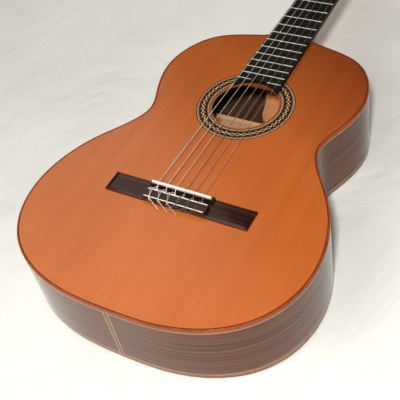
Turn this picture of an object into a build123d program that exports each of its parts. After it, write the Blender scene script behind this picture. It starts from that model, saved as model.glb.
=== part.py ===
from build123d import *
from math import asin, cos, degrees, pi, radians, sin, sqrt
import os

# Classical guitar, in millimetres.
#
# +X points to the treble side, +Y to the head and +Z up out of the soundboard.  The guitar lies
# on its domed back: Z = 0 is the lowest point of the back, X = 0 the centre line, and Y = 0 is
# half way along the whole instrument.
os.makedirs("parts", exist_ok=True)

# ---- Driving dimensions ------------------------------------------------------------------
SCALE = 630.0               # nut to saddle
BODY_LENGTH = 489.0         # tail to the neck joint, which is at the twelfth fret
TOP = 99.0                  # height of the soundboard's upper face
DOME_R = 5500.0             # radius of the back's dome
DOME_S = 262.0              # the dome's lowest point, from the tail

SOUNDBOARD_T = 2.5
BACK_T = 2.5
SIDE_T = 2.0
BINDING_H = 5.0
LINE_T = 0.9                # thin veneer lines beside the bindings
PURFLING_DEPTH = 1.5
EDGE_ROUND = 1.0

HOLE_S = 341.0              # soundhole centre, from the tail
HOLE_R = 43.8
ROSETTE_INNER = 45.9
ROSETTE_OUTER = 64.4
ROSETTE_DEPTH = 1.2

NUT_W = 50.4
JOINT_W = 60.1
NUT_T = 5.0
FRETBOARD_T = 6.0
FRET_COUNT = 19
FRET_W = 2.2
FRET_H = 1.0
TANG_W = 0.6
TANG_H = 1.6

NUT_STRING_Z = TOP + 7.9    # string centres at the nut and at the saddle
SADDLE_STRING_Z = TOP + 11.6
NUT_SPREAD = 42.0           # between the outer strings
SADDLE_SPREAD = 61.0
STRING_RADII = (0.36, 0.42, 0.51, 0.37, 0.44, 0.54)

HEAD_TILT = 15.0
HEAD_LENGTH = 188.0
HEAD_T = 19.0
VENEER_T = 2.0
HEAD_HALF_W = 36.0
HEAD_RAISE = 1.5            # veneer's face above the soundboard plane, at the nut

# ---- Places that follow from them --------------------------------------------------------
OVERALL = BODY_LENGTH + SCALE / 2 + NUT_T + HEAD_LENGTH * cos(radians(HEAD_TILT))
TAIL_Y = -OVERALL / 2
JOINT_Y = TAIL_Y + BODY_LENGTH
NUT_Y = JOINT_Y + SCALE / 2
SADDLE_Y = NUT_Y - SCALE
HOLE_Y = TAIL_Y + HOLE_S
DOME_Y = TAIL_Y + DOME_S
HEAD = Plane(
    origin=(0, NUT_Y + NUT_T, TOP + HEAD_RAISE),
    x_dir=(1, 0, 0),
    z_dir=(0, sin(radians(HEAD_TILT)), cos(radians(HEAD_TILT))),
)


def head_point(x, along, up):
    """A place on the head, from its local coordinates."""
    return HEAD.from_local_coords(Vector(x, along, up))


def fret_y(number):
    return NUT_Y - SCALE * (1 - 2 ** (-number / 12))


def fretboard_half_width(y):
    return (NUT_W + (JOINT_W - NUT_W) * (NUT_Y - y) / (SCALE / 2)) / 2


def dome_rise(distance):
    """Height of the dome, this far from its lowest point."""
    return DOME_R - sqrt(DOME_R ** 2 - distance ** 2)


# ---- The body's outline ------------------------------------------------------------------
# Half width and distance from the tail, from the tail round to the neck joint.
OUTLINE = (
    (0, 0), (66, 4), (118.5, 20.8), (158, 51), (181.5, 94), (187.4, 135), (179.1, 184.7),
    (156, 231.8), (129.5, 270.5), (120.4, 297), (129.3, 330), (142.8, 392), (129, 438.3),
    (91.2, 472), (40, 486.9), (0, BODY_LENGTH),
)


def outline(inset=0.0):
    """The body seen from above, with its edge moved inwards by inset."""
    along_edge = [Vector(x, TAIL_Y + along) for x, along in OUTLINE]
    ends = [(1, 0), (-1, 0)]
    edge = Spline(*along_edge, tangents=ends)
    moved = []
    for point in along_edge:
        forward = edge.tangent_at(edge.param_at_point(point))
        moved.append(point + Vector(-forward.Y, forward.X) * inset)
    with BuildSketch() as seen:
        with BuildLine():
            Spline(*moved, tangents=ends)
            mirror(about=Plane.YZ)
        make_face()
    return seen.sketch


WHOLE = outline()
INSIDE_BINDING = outline(SIDE_T)
INSIDE_PURFLING = outline(SIDE_T + LINE_T)
LINING_W = 5.5
INSIDE_LINING = outline(SIDE_T + LINING_W)
LINING_H = 15.0
DOME_REACH = 330.0
DOME_SECTION = Plane(origin=(0, DOME_Y, 0), x_dir=(1, 0, 0), z_dir=(0, -1, 0))
DOME_AXIS = Axis((0, DOME_Y, 0), (0, 0, 1))


def dome_slab(low, high):
    """Everything between two copies of the dome, raised by low and high."""
    half = DOME_REACH / 2
    with BuildPart() as slab:
        with BuildSketch(DOME_SECTION):
            with BuildLine():
                bottom = ThreePointArc(
                    (0, low),
                    (half, low + dome_rise(half)),
                    (DOME_REACH, low + dome_rise(DOME_REACH)),
                )
                top = ThreePointArc(
                    (0, high),
                    (half, high + dome_rise(half)),
                    (DOME_REACH, high + dome_rise(DOME_REACH)),
                )
                Line(bottom @ 0, top @ 0)
                Line(bottom @ 1, top @ 1)
            make_face()
        revolve(axis=DOME_AXIS)
    return slab.part


CEILING = TOP + 60.0
SIDE_TOP = TOP - BINDING_H - LINE_T
BACK_LINE = BINDING_H
SIDE_BOTTOM = BACK_LINE + LINE_T
back_slab = dome_slab(0, BACK_T)
binding_slab = dome_slab(0, BINDING_H)
line_slab = dome_slab(BACK_LINE, SIDE_BOTTOM)
above_trim = dome_slab(SIDE_BOTTOM, CEILING)
above_back = dome_slab(BACK_T, CEILING)


def save(part, name):
    part.label = name
    export_step(part, f"parts/{name}.step")


# ---- Soundboard, rosette and top trim ----------------------------------------------------
with BuildPart() as soundboard:
    with BuildSketch(Plane.XY.offset(TOP)):
        add(INSIDE_BINDING)
        with Locations((0, HOLE_Y)):
            Circle(HOLE_R, mode=Mode.SUBTRACT)
    extrude(amount=-SOUNDBOARD_T)
    with BuildSketch(Plane.XY.offset(TOP)):
        with Locations((0, HOLE_Y)):
            Circle(ROSETTE_OUTER)
            Circle(ROSETTE_INNER, mode=Mode.SUBTRACT)
    extrude(amount=-ROSETTE_DEPTH, mode=Mode.SUBTRACT)
    with BuildSketch(Plane.XY.offset(TOP)):
        add(INSIDE_BINDING)
        add(INSIDE_PURFLING, mode=Mode.SUBTRACT)
    extrude(amount=-PURFLING_DEPTH, mode=Mode.SUBTRACT)
save(soundboard.part, "soundboard")

with BuildPart() as rosette:
    with BuildSketch(Plane.XY.offset(TOP)):
        with Locations((0, HOLE_Y)):
            Circle(ROSETTE_OUTER)
            Circle(ROSETTE_INNER, mode=Mode.SUBTRACT)
    extrude(amount=-ROSETTE_DEPTH)
save(rosette.part, "rosette")

with BuildPart() as top_binding:
    with BuildSketch(Plane.XY.offset(TOP - BINDING_H)):
        add(WHOLE)
    extrude(amount=BINDING_H - EDGE_ROUND)
    for angle in range(0, 91, 30):
        around = radians(angle)
        with BuildSketch(Plane.XY.offset(TOP - EDGE_ROUND * (1 - sin(around)))):
            add(outline(EDGE_ROUND * (1 - cos(around))))
    loft(ruled=True)
    with BuildSketch(Plane.XY.offset(TOP)):
        add(INSIDE_BINDING)
    extrude(amount=-BINDING_H, mode=Mode.SUBTRACT)
save(top_binding.part, "top_binding")

with BuildPart() as top_purfling:
    with BuildSketch(Plane.XY.offset(TOP)):
        add(INSIDE_BINDING)
        add(INSIDE_PURFLING, mode=Mode.SUBTRACT)
    extrude(amount=-PURFLING_DEPTH)
save(top_purfling.part, "top_purfling")

# ---- Sides, back and back trim -----------------------------------------------------------
GRAFT_W = (3.5, 5.3)        # tail graft at the back and at the top, between its two pale lines
WEB_HALF = 8.9              # neck's web, between the ends of the sides
FAR = 600.0                 # longer than anything it cuts

with BuildPart() as side_ring:
    with BuildSketch():
        add(WHOLE)
        add(INSIDE_BINDING, mode=Mode.SUBTRACT)
    extrude(amount=SIDE_TOP)
    add(above_trim, mode=Mode.INTERSECT)


def graft_wedge(margin):
    """The tapered tail graft, wider by margin on each side, cut through the tail end."""
    low, high = (width / 2 + margin for width in GRAFT_W)
    with BuildPart() as wedge:
        with BuildSketch(Plane.XZ.offset(-TAIL_Y - 20)):
            Polygon((-low, 0), (low, 0), (high, SIDE_TOP), (-high, SIDE_TOP), align=None)
        extrude(amount=40)
    return wedge.part


for side, name in ((-1, "side_bass"), (1, "side_treble")):
    with BuildPart() as body_side:
        add(side_ring.part)
        with Locations((side * FAR / 2, 0, 0)):
            Box(FAR, 2 * FAR, FAR, mode=Mode.INTERSECT)
        add(graft_wedge(LINE_T), mode=Mode.SUBTRACT)
        with Locations((0, JOINT_Y, 0)):
            Box(2 * WEB_HALF, 60, FAR, mode=Mode.SUBTRACT)
    save(body_side.part, name)

with BuildPart() as tail_graft:
    add(side_ring.part)
    add(graft_wedge(0), mode=Mode.INTERSECT)
save(tail_graft.part, "tail_graft")

with BuildPart() as graft_lines:
    add(side_ring.part)
    add(graft_wedge(LINE_T), mode=Mode.INTERSECT)
    add(graft_wedge(0), mode=Mode.SUBTRACT)

with BuildPart() as side_purfling:
    with BuildSketch(Plane.XY.offset(SIDE_TOP)):
        add(WHOLE)
        add(INSIDE_BINDING, mode=Mode.SUBTRACT)
    extrude(amount=LINE_T)
    add(graft_lines.part)
with BuildPart() as back_line:
    with BuildSketch():
        add(WHOLE)
        add(INSIDE_BINDING, mode=Mode.SUBTRACT)
    extrude(amount=TOP / 2)
    add(line_slab, mode=Mode.INTERSECT)
with BuildPart() as all_lines:
    add(side_purfling.part)
    add(back_line.part)
save(all_lines.part, "side_purfling")

with BuildPart() as back_binding:
    with BuildSketch():
        add(WHOLE)
        add(INSIDE_BINDING, mode=Mode.SUBTRACT)
    extrude(amount=TOP / 2)
    add(binding_slab, mode=Mode.INTERSECT)
save(back_binding.part, "back_binding")

INLAY_W = 3.0
with BuildPart() as back_plate:
    with BuildSketch():
        add(INSIDE_BINDING)
    extrude(amount=TOP / 2)
    add(back_slab, mode=Mode.INTERSECT)
with BuildPart() as back_halves:
    add(back_plate.part)
    Box(INLAY_W, 2 * FAR, FAR, mode=Mode.SUBTRACT)
save(back_halves.part, "back_halves")
with BuildPart() as back_center_inlay:
    add(back_plate.part)
    Box(INLAY_W, 2 * FAR, FAR, mode=Mode.INTERSECT)
save(back_center_inlay.part, "back_center_inlay")

# ---- Inside the body ---------------------------------------------------------------------
UNDER_TOP = TOP - SOUNDBOARD_T
TAIL_BLOCK_W = 60.0
TAIL_BLOCK_T = 16.0
FOOT_LENGTH = 76.0          # the neck's foot, on the back, inside the body
FOOT_HALF_W = (33.0, 19.0)  # at the neck and at its end
FOOT_H = 9.0
BLOCK_LENGTH = 24.0         # full height part of the foot
GAP = 0.1                   # between a block and what ends beside it
GLUE = 0.05                 # glue line between the linings and the sides

with BuildPart() as cavity:
    with BuildSketch():
        add(INSIDE_BINDING)
    extrude(amount=UNDER_TOP)
    add(above_back, mode=Mode.INTERSECT)

with BuildPart() as tail_block:
    with BuildSketch():
        with Locations((0, TAIL_Y + SIDE_T + TAIL_BLOCK_T / 2)):
            Rectangle(TAIL_BLOCK_W, TAIL_BLOCK_T)
    extrude(amount=TOP)
    add(cavity.part, mode=Mode.INTERSECT)
save(tail_block.part, "tail_block")

with BuildPart() as foot:
    with BuildSketch():
        with BuildLine():
            Polyline(
                (-FOOT_HALF_W[0], JOINT_Y),
                (-FOOT_HALF_W[0], JOINT_Y - BLOCK_LENGTH),
                (-FOOT_HALF_W[1], JOINT_Y - FOOT_LENGTH),
                (FOOT_HALF_W[1], JOINT_Y - FOOT_LENGTH),
                (FOOT_HALF_W[0], JOINT_Y - BLOCK_LENGTH),
                (FOOT_HALF_W[0], JOINT_Y),
                close=True,
            )
        make_face()
    extrude(amount=TOP)
    add(cavity.part, mode=Mode.INTERSECT)
    back_z = BACK_T + dome_rise(BODY_LENGTH - DOME_S)
    with BuildSketch(Plane.YZ.offset(-FAR / 2)):
        with BuildLine():
            slope = Line(
                (JOINT_Y - FOOT_LENGTH - 1, back_z + FOOT_H),
                (JOINT_Y - FOOT_LENGTH * 0.6, back_z + FOOT_H),
            )
            rise = RadiusArc(slope @ 1, (JOINT_Y - BLOCK_LENGTH, back_z + 40), 60)
            Polyline(
                rise @ 1,
                (JOINT_Y - BLOCK_LENGTH, CEILING),
                (JOINT_Y - FOOT_LENGTH - 1, CEILING),
                slope @ 0,
            )
        make_face()
    extrude(amount=FAR, mode=Mode.SUBTRACT)

BACK_BRACE_S = (108.0, 250.0, 389.0)
BACK_BRACE_W = 7.0
BACK_BRACE_H = 15.0
with BuildPart() as back_braces:
    with BuildSketch():
        with Locations([(0, TAIL_Y + along) for along in BACK_BRACE_S]):
            Rectangle(FAR, BACK_BRACE_W)
        add(INSIDE_LINING, mode=Mode.INTERSECT)
    extrude(amount=TOP)
    add(dome_slab(BACK_T, BACK_T + BACK_BRACE_H), mode=Mode.INTERSECT)
save(back_braces.part, "back_braces")

STRIP_W = 18.0
STRIP_T = 2.5
strip_start = TAIL_Y + SIDE_T + TAIL_BLOCK_T
strip_end = JOINT_Y - FOOT_LENGTH - 2
def on_dome(y, raised):
    """The dome's profile along the centre line, as a place on Plane.YZ."""
    return (y, raised + dome_rise(abs(y - DOME_Y)))


with BuildPart() as back_center_strip:
    with BuildSketch(Plane.YZ.offset(-STRIP_W / 2)):
        with BuildLine():
            middle = (strip_start + strip_end) / 2
            arcs = []
            for raised in (BACK_T + GLUE, BACK_T + STRIP_T):
                places = [on_dome(y, raised) for y in (strip_start, middle, strip_end)]
                arcs.append(ThreePointArc(*places))
            Line(arcs[0] @ 0, arcs[1] @ 0)
            Line(arcs[0] @ 1, arcs[1] @ 1)
        make_face()
    extrude(amount=STRIP_W)
    with Locations([(0, TAIL_Y + along, 0) for along in BACK_BRACE_S]):
        Box(FAR, BACK_BRACE_W, FAR, mode=Mode.SUBTRACT)
save(back_center_strip.part, "back_center_strip")

with BuildPart() as linings:
    with BuildSketch():
        add(outline(SIDE_T + GLUE))
        add(INSIDE_LINING, mode=Mode.SUBTRACT)
    extrude(amount=UNDER_TOP)
    add(above_back, mode=Mode.INTERSECT)
    with BuildSketch(Plane.XY.offset(BACK_T + LINING_H)):
        add(WHOLE)
    extrude(amount=UNDER_TOP - BACK_T - 2 * LINING_H, mode=Mode.SUBTRACT)
    with Locations((0, TAIL_Y, 0)):
        Box(TAIL_BLOCK_W + GAP, 80, FAR, mode=Mode.SUBTRACT)
    with Locations((0, JOINT_Y, 0)):
        Box(2 * FOOT_HALF_W[0] + GAP, 2 * BLOCK_LENGTH, FAR, mode=Mode.SUBTRACT)
save(linings.part, "linings")

HARMONIC_BAR_S = (HOLE_S - HOLE_R - 19, HOLE_S + HOLE_R + 19)
HARMONIC_BAR_W = 7.0
HARMONIC_BAR_H = 13.0
FAN_COUNT = 7
FAN_W = 4.0
FAN_H = 3.5
FAN_S = (78.0, HARMONIC_BAR_S[0] - 6)
FAN_SPREAD = (56.0, 17.0)   # between neighbours, at the tail end and at the hole end
with BuildPart() as soundboard_braces:
    with BuildSketch(Plane.XY.offset(UNDER_TOP)):
        with Locations([(0, TAIL_Y + along) for along in HARMONIC_BAR_S]):
            Rectangle(FAR, HARMONIC_BAR_W)
        add(INSIDE_LINING, mode=Mode.INTERSECT)
    extrude(amount=-HARMONIC_BAR_H)
    with BuildSketch(Plane.XY.offset(UNDER_TOP)):
        for number in range(FAN_COUNT):
            place = number - (FAN_COUNT - 1) / 2
            wide = place * FAN_SPREAD[0] * (0.85 if abs(place) > 2 else 1)
            low = Vector(wide, TAIL_Y + FAN_S[0])
            high = Vector(place * FAN_SPREAD[1], TAIL_Y + FAN_S[1])
            lean = degrees(asin((low.X - high.X) / (high - low).length))
            middle = (low + high) / 2
            with Locations(Location((middle.X, middle.Y, 0), lean)):
                Rectangle(FAN_W, (high - low).length)
    extrude(amount=-FAN_H)
save(soundboard_braces.part, "soundboard_braces")

STRAP_L = 120.0             # flat strap under the soundboard, beside the hole's upper edge
STRAP_W = 9.0
STRAP_T = 5.0
with BuildPart() as hole_strap:
    with BuildSketch(Plane.XY.offset(UNDER_TOP)):
        with Locations((0, HOLE_Y + HOLE_R + STRAP_W / 2)):
            Rectangle(STRAP_L, STRAP_W)
    extrude(amount=-STRAP_T)
save(hole_strap.part, "hole_strap")

# ---- Neck, heel and fretboard ------------------------------------------------------------
NECK_DEPTH_NUT = 15.0       # neck wood under the fretboard, near the nut and near the heel
NECK_DEPTH_HEEL = 18.0
HEEL_CAP_T = 2.5
HEEL_BOTTOM = dome_rise(BODY_LENGTH - DOME_S)
# Depth below the soundboard plane, half width and reach of each level of the heel.
HEEL_LEVELS = ((13, 26.5, 74), (20, 24, 50), (31, 20, 33), (48, 16.5, 22), (70, 14, 16.5))
HEEL_CAP_HALF_W = 12.5
HEEL_CAP_REACH = 14.5


def neck_section(y, half_width, depth):
    """Half an ellipse hanging from the soundboard plane, across the neck."""
    with BuildSketch(Plane.XZ.offset(-y)) as section:
        with BuildLine():
            curve = EllipticalCenterArc((0, TOP), half_width, depth, 180, arc_size=180)
            Line(curve @ 0, curve @ 1)
        make_face()
    return section.sketch


def heel_level(half_width, reach):
    """Half an ellipse reaching out of the body, with its straight side inside it."""
    with BuildSketch() as level:
        with BuildLine():
            curve = EllipticalCenterArc((0, JOINT_Y - 6), half_width, reach + 6, 0, arc_size=180)
            Line(curve @ 0, curve @ 1)
        make_face()
    return level.sketch


with BuildPart() as web:
    add(side_ring.part)
    with Locations((0, JOINT_Y, 0)):
        Box(2 * WEB_HALF, 60, FAR, mode=Mode.INTERSECT)

with BuildPart() as neck:
    shaft_y = (JOINT_Y - 6, JOINT_Y + 50, NUT_Y - 32)
    add(neck_section(shaft_y[0], fretboard_half_width(shaft_y[0]), NECK_DEPTH_HEEL + 1))
    add(neck_section(shaft_y[1], fretboard_half_width(shaft_y[1]), NECK_DEPTH_HEEL))
    add(neck_section(shaft_y[2], fretboard_half_width(shaft_y[2]), NECK_DEPTH_NUT))
    loft(ruled=True)
    add(neck_section(shaft_y[2], fretboard_half_width(shaft_y[2]), NECK_DEPTH_NUT))
    add(neck_section(NUT_Y, NUT_W / 2, NECK_DEPTH_NUT + 2))
    add(neck_section(NUT_Y + NUT_T, NUT_W / 2, NECK_DEPTH_NUT + 5.2))
    loft(ruled=True)
    for drop, half_width, reach in HEEL_LEVELS:
        with BuildSketch(Plane.XY.offset(TOP - drop)):
            add(heel_level(half_width, reach))
    with BuildSketch(Plane.XY.offset(HEEL_BOTTOM + HEEL_CAP_T)):
        add(heel_level(HEEL_CAP_HALF_W, HEEL_CAP_REACH))
    loft()
    with BuildSketch():
        add(WHOLE)
    extrude(amount=TOP, mode=Mode.SUBTRACT)
    add(web.part)
    add(foot.part)
save(neck.part, "neck")

with BuildPart() as heel_cap:
    with BuildSketch(Plane.XY.offset(HEEL_BOTTOM)):
        add(heel_level(HEEL_CAP_HALF_W, HEEL_CAP_REACH))
        add(WHOLE, mode=Mode.SUBTRACT)
    extrude(amount=HEEL_CAP_T)
save(heel_cap.part, "heel_cap")

with BuildPart() as fretboard:
    tail_end = HOLE_Y
    with BuildSketch(Plane.XY.offset(TOP)):
        with BuildLine():
            Polyline(
                (-NUT_W / 2, NUT_Y),
                (-fretboard_half_width(tail_end), tail_end),
                (fretboard_half_width(tail_end), tail_end),
                (NUT_W / 2, NUT_Y),
                close=True,
            )
        make_face()
        with Locations((0, HOLE_Y)):
            Circle(HOLE_R, mode=Mode.SUBTRACT)
    extrude(amount=FRETBOARD_T)
    with BuildSketch(Plane.XY.offset(TOP + FRETBOARD_T)):
        with Locations([(0, fret_y(number)) for number in range(1, FRET_COUNT + 1)]):
            Rectangle(2 * NUT_W, TANG_W)
    extrude(amount=-TANG_H, mode=Mode.SUBTRACT)
save(fretboard.part, "fretboard")

FRET_SIDE_GAP = 0.3         # from the fret's end to the fretboard's side
with BuildPart() as frets:
    for number in range(1, FRET_COUNT + 1):
        y = fret_y(number)
        half = fretboard_half_width(y) - FRET_SIDE_GAP
        with BuildSketch(Plane.YZ.offset(-half)):
            with BuildLine():
                foot_z = TOP + FRETBOARD_T
                crown = ThreePointArc(
                    (y - FRET_W / 2, foot_z), (y, foot_z + FRET_H), (y + FRET_W / 2, foot_z)
                )
                Polyline(
                    crown @ 1,
                    (y + TANG_W / 2, foot_z),
                    (y + TANG_W / 2, foot_z - TANG_H),
                    (y - TANG_W / 2, foot_z - TANG_H),
                    (y - TANG_W / 2, foot_z),
                    crown @ 0,
                )
            make_face()
        extrude(amount=2 * half)
    with Locations((0, HOLE_Y, TOP)):
        Cylinder(HOLE_R + FRET_SIDE_GAP, FAR, mode=Mode.SUBTRACT)
save(frets.part, "frets")

# ---- Head --------------------------------------------------------------------------------
SLOT_X = 15.75              # middle of each slot
SLOT_W = 14.5
SLOT_ENDS = (19.0, 146.0)   # along the head, from the nut
ROLLER_ALONG = (54.0, 89.0, 124.0)
ROLLER_UP = -10.5           # roller centres, below the veneer's face
ROLLER_R = 5.0
ROLLER_FIT = 0.08           # radial clearance of every turning piece in its hole
ROLLER_INNER = 2.5          # inner end of each roller, in the web between the slots
PLATE_ENDS = (ROLLER_ALONG[0] - 18, ROLLER_ALONG[-1] + 11)
PLATE_SCREWS = (
    PLATE_ENDS[0] + 2.6, ROLLER_ALONG[0] + 15, ROLLER_ALONG[1] + 15, PLATE_ENDS[1] - 2.6
)
PLATE_SCREW_R = 1.1
PLATE_SCREW_HEAD_R = 2.0
PLATE_SCREW_L = 9.0
WIDEN_ALONG = 24.0
CREST_ALONG = 163.0


def head_outline(start=0.0):
    """The head seen square to its face: straight cheeks and a crest with three lobes."""
    with BuildSketch() as seen:
        with BuildLine():
            neck_edge = Line((0, start), (NUT_W / 2, start))
            flare = TangentArc(
                neck_edge @ 1, (NUT_W / 2 + 3, 12 + start), tangent=(0, 1)
            )
            cheek = Spline(
                flare @ 1, (HEAD_HALF_W, WIDEN_ALONG), tangents=[flare % 1, (0, 1)]
            )
            side = Line(cheek @ 1, (HEAD_HALF_W, CREST_ALONG))
            shoulder = ThreePointArc(side @ 1, (27, CREST_ALONG + 17), (16, HEAD_LENGTH - 7))
            ThreePointArc(shoulder @ 1, (9, HEAD_LENGTH - 2), (0, HEAD_LENGTH))
            mirror(about=Plane.YZ)
        make_face()
    return seen.sketch


def head_slots():
    middle = (SLOT_ENDS[0] + SLOT_ENDS[1]) / 2
    with BuildSketch() as slots:
        with Locations((-SLOT_X, middle), (SLOT_X, middle)):
            SlotOverall(SLOT_ENDS[1] - SLOT_ENDS[0], SLOT_W, rotation=90)
    return slots.sketch


with BuildPart() as headstock:
    with BuildSketch(HEAD.offset(-VENEER_T)):
        add(head_outline(-12))
        add(head_slots(), mode=Mode.SUBTRACT)
    extrude(amount=-HEAD_T)
    with Locations((0, NUT_Y + NUT_T - FAR / 2, TOP)):
        Box(FAR, FAR, FAR, mode=Mode.SUBTRACT)
    for side in (-1, 1):
        for along in ROLLER_ALONG:
            start = head_point(side * (ROLLER_INNER - 0.3), along, ROLLER_UP)
            with BuildSketch(Plane(origin=start, x_dir=HEAD.y_dir, z_dir=(side, 0, 0))):
                Circle(ROLLER_R + ROLLER_FIT)
            extrude(amount=HEAD_HALF_W, mode=Mode.SUBTRACT)
    for side in (-1, 1):
        for along in PLATE_SCREWS:
            start = head_point(side * HEAD_HALF_W, along, ROLLER_UP)
            with BuildSketch(Plane(origin=start, x_dir=HEAD.y_dir, z_dir=(-side, 0, 0))):
                Circle(PLATE_SCREW_R)
            extrude(amount=PLATE_SCREW_L, mode=Mode.SUBTRACT)
save(headstock.part, "headstock")

with BuildPart() as headstock_veneer:
    with BuildSketch(HEAD):
        add(head_outline(0))
        add(head_slots(), mode=Mode.SUBTRACT)
    extrude(amount=-VENEER_T)
    with Locations((0, NUT_Y + NUT_T - FAR / 2, TOP)):
        Box(FAR, FAR, FAR, mode=Mode.SUBTRACT)
save(headstock_veneer.part, "headstock_veneer")

# ---- Tuning machines ---------------------------------------------------------------------
# Each worm is single start and right handed, on the nut side of its gear.
TEETH = 14
GEAR_PITCH_R = 5.6
LEAD = 2 * pi * GEAR_PITCH_R / TEETH
WORM_PITCH_R = 2.6
TOOTH_ABOVE = 0.65          # tooth and thread height outside and inside the pitch line
TOOTH_BELOW = 1.0
TOOTH_HALF = 0.4            # half thickness on the pitch line, which leaves backlash
TOOTH_SLOPE = 0.2
GEAR_T = 2.6
MESH_DISTANCE = GEAR_PITCH_R + WORM_PITCH_R
WORM_L = 5 * LEAD
WORM_ROOT_R = WORM_PITCH_R - TOOTH_BELOW
SHAFT_R = 1.5
PLATE_T = 1.2
PLATE_HALF_H = 9.6
GEAR_X = 40.9               # middle of the gears and of the worms
HUB_R = 3.4
WORM_SEAM = 40.0            # turns the core's seam away from the thread's ends
LUG_T = 1.8
LUG_UP = WORM_L / 2 + 1.1   # inner face of each lug, from the gear's centre
LUG_W = 6.4
BUTTON_START = 15.0         # behind the roller's centre
BUTTON_L = 16.0
BUTTON_W = 20.0
BUTTON_T = 8.0
BUTTON_BORE_L = 9.0
POST_R = 2.0                # steel core of the roller, which the gear's screw enters
SCREW_HEAD_R = 2.6
SCREW_HEAD_T = 1.2
SCREW_DRIVER_W = 0.7


def gear_shape():
    """A gear on the origin with its axis along X and one tooth pointing along -Y."""
    tip = GEAR_PITCH_R + TOOTH_ABOVE
    root = GEAR_PITCH_R - TOOTH_BELOW
    tip_half = TOOTH_HALF - TOOTH_ABOVE * TOOTH_SLOPE
    root_half = TOOTH_HALF + (TOOTH_BELOW + 0.3) * TOOTH_SLOPE
    with BuildPart() as gear:
        with BuildSketch(Plane.YZ.offset(-GEAR_T / 2)):
            Circle(root)
            with PolarLocations(0, TEETH, start_angle=180):
                Polygon(
                    (root - 0.3, -root_half), (tip, -tip_half), (tip, tip_half), (root - 0.3, root_half),
                    align=None,
                )
        extrude(amount=GEAR_T)
    return gear.part


def worm_shape():
    """A worm on the origin, with its axis along Z and a valley at Z = 0 towards +Y."""
    tip_half = TOOTH_HALF - TOOTH_ABOVE * TOOTH_SLOPE
    root_half = TOOTH_HALF + (TOOTH_BELOW + 0.2) * TOOTH_SLOPE
    with BuildPart() as worm:
        with BuildLine():
            track = Helix(
                pitch=LEAD, height=WORM_L, radius=WORM_PITCH_R, center=(0, 0, -WORM_L / 2)
            )
        with BuildSketch(Plane(origin=track @ 0, x_dir=(1, 0, 0), z_dir=track % 0)):
            Polygon(
                (-TOOTH_BELOW - 0.2, -root_half),
                (TOOTH_ABOVE, -tip_half),
                (TOOTH_ABOVE, tip_half),
                (-TOOTH_BELOW - 0.2, root_half),
                align=None,
            )
        sweep(path=track, is_frenet=True)
        Cylinder(WORM_ROOT_R, 2 * LUG_UP - 2 * GAP, rotation=(0, 0, WORM_SEAM))
        with Locations((0, 0, LUG_UP + LUG_T)):
            Cylinder(SHAFT_R, LUG_T + 2 * GAP, align=(Align.CENTER, Align.CENTER, Align.MAX))
        with Locations((0, 0, -BUTTON_START - BUTTON_BORE_L)):
            Cylinder(
                SHAFT_R,
                BUTTON_START + BUTTON_BORE_L - WORM_L / 2,
                align=(Align.CENTER, Align.CENTER, Align.MIN),
            )
    return worm.part


def button_shape():
    """A flat oval grip hanging below the origin, bored for the worm's shaft."""
    with BuildPart() as button:
        with BuildSketch(Plane.XZ.offset(-BUTTON_T / 2)):
            with Locations((0, -BUTTON_START - BUTTON_L / 2)):
                Ellipse(BUTTON_W / 2, BUTTON_L / 2)
            with Locations((0, -BUTTON_START - 3)):
                Rectangle(7, 6)
        extrude(amount=BUTTON_T)
        flat_faces = button.faces().filter_by(Axis.Y)
        fillet(flat_faces.edges(), radius=2.4)
        with Locations((0, 0, -BUTTON_START + 1)):
            Cylinder(
                SHAFT_R,
                BUTTON_BORE_L + 1,
                align=(Align.CENTER, Align.CENTER, Align.MAX),
                mode=Mode.SUBTRACT,
            )
    return button.part


def roller_shape(side):
    """A string roller with its hub, along X from the web to the gear, for side -1 or 1."""
    sideways = Plane(origin=(side * ROLLER_INNER, 0, 0), x_dir=(0, 1, 0), z_dir=(side, 0, 0))
    gear_face = GEAR_X - GEAR_T / 2
    with BuildPart() as roller:
        with BuildSketch(sideways):
            Circle(ROLLER_R)
        extrude(amount=HEAD_HALF_W - ROLLER_INNER - GAP)
        with BuildSketch(sideways):
            Circle(HUB_R)
        extrude(amount=gear_face - ROLLER_INNER)
        with BuildSketch(sideways):
            Circle(POST_R)
        extrude(amount=gear_face + GEAR_T - ROLLER_INNER)
    return roller.part


def gear_with_screw(side):
    """The gear in its place along X, bored for the post, with its screw's head outside."""
    outer_face = side * (GEAR_X + GEAR_T / 2)
    outwards = Plane(origin=(outer_face, 0, 0), x_dir=(0, 1, 0), z_dir=(side, 0, 0))
    with BuildPart() as gear:
        add(gear_shape().moved(Location((side * GEAR_X, 0, 0))))
        with BuildSketch(outwards):
            Circle(POST_R)
        extrude(amount=-GEAR_T, mode=Mode.SUBTRACT)
        with BuildSketch(outwards):
            Circle(SCREW_HEAD_R)
        extrude(amount=SCREW_HEAD_T)
        with BuildSketch(outwards.offset(SCREW_HEAD_T)):
            Rectangle(SCREW_DRIVER_W, 3 * SCREW_HEAD_R)
        extrude(amount=-SCREW_HEAD_T / 2, mode=Mode.SUBTRACT)
    return gear.part


WORM = worm_shape()
BUTTON = button_shape()
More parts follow.
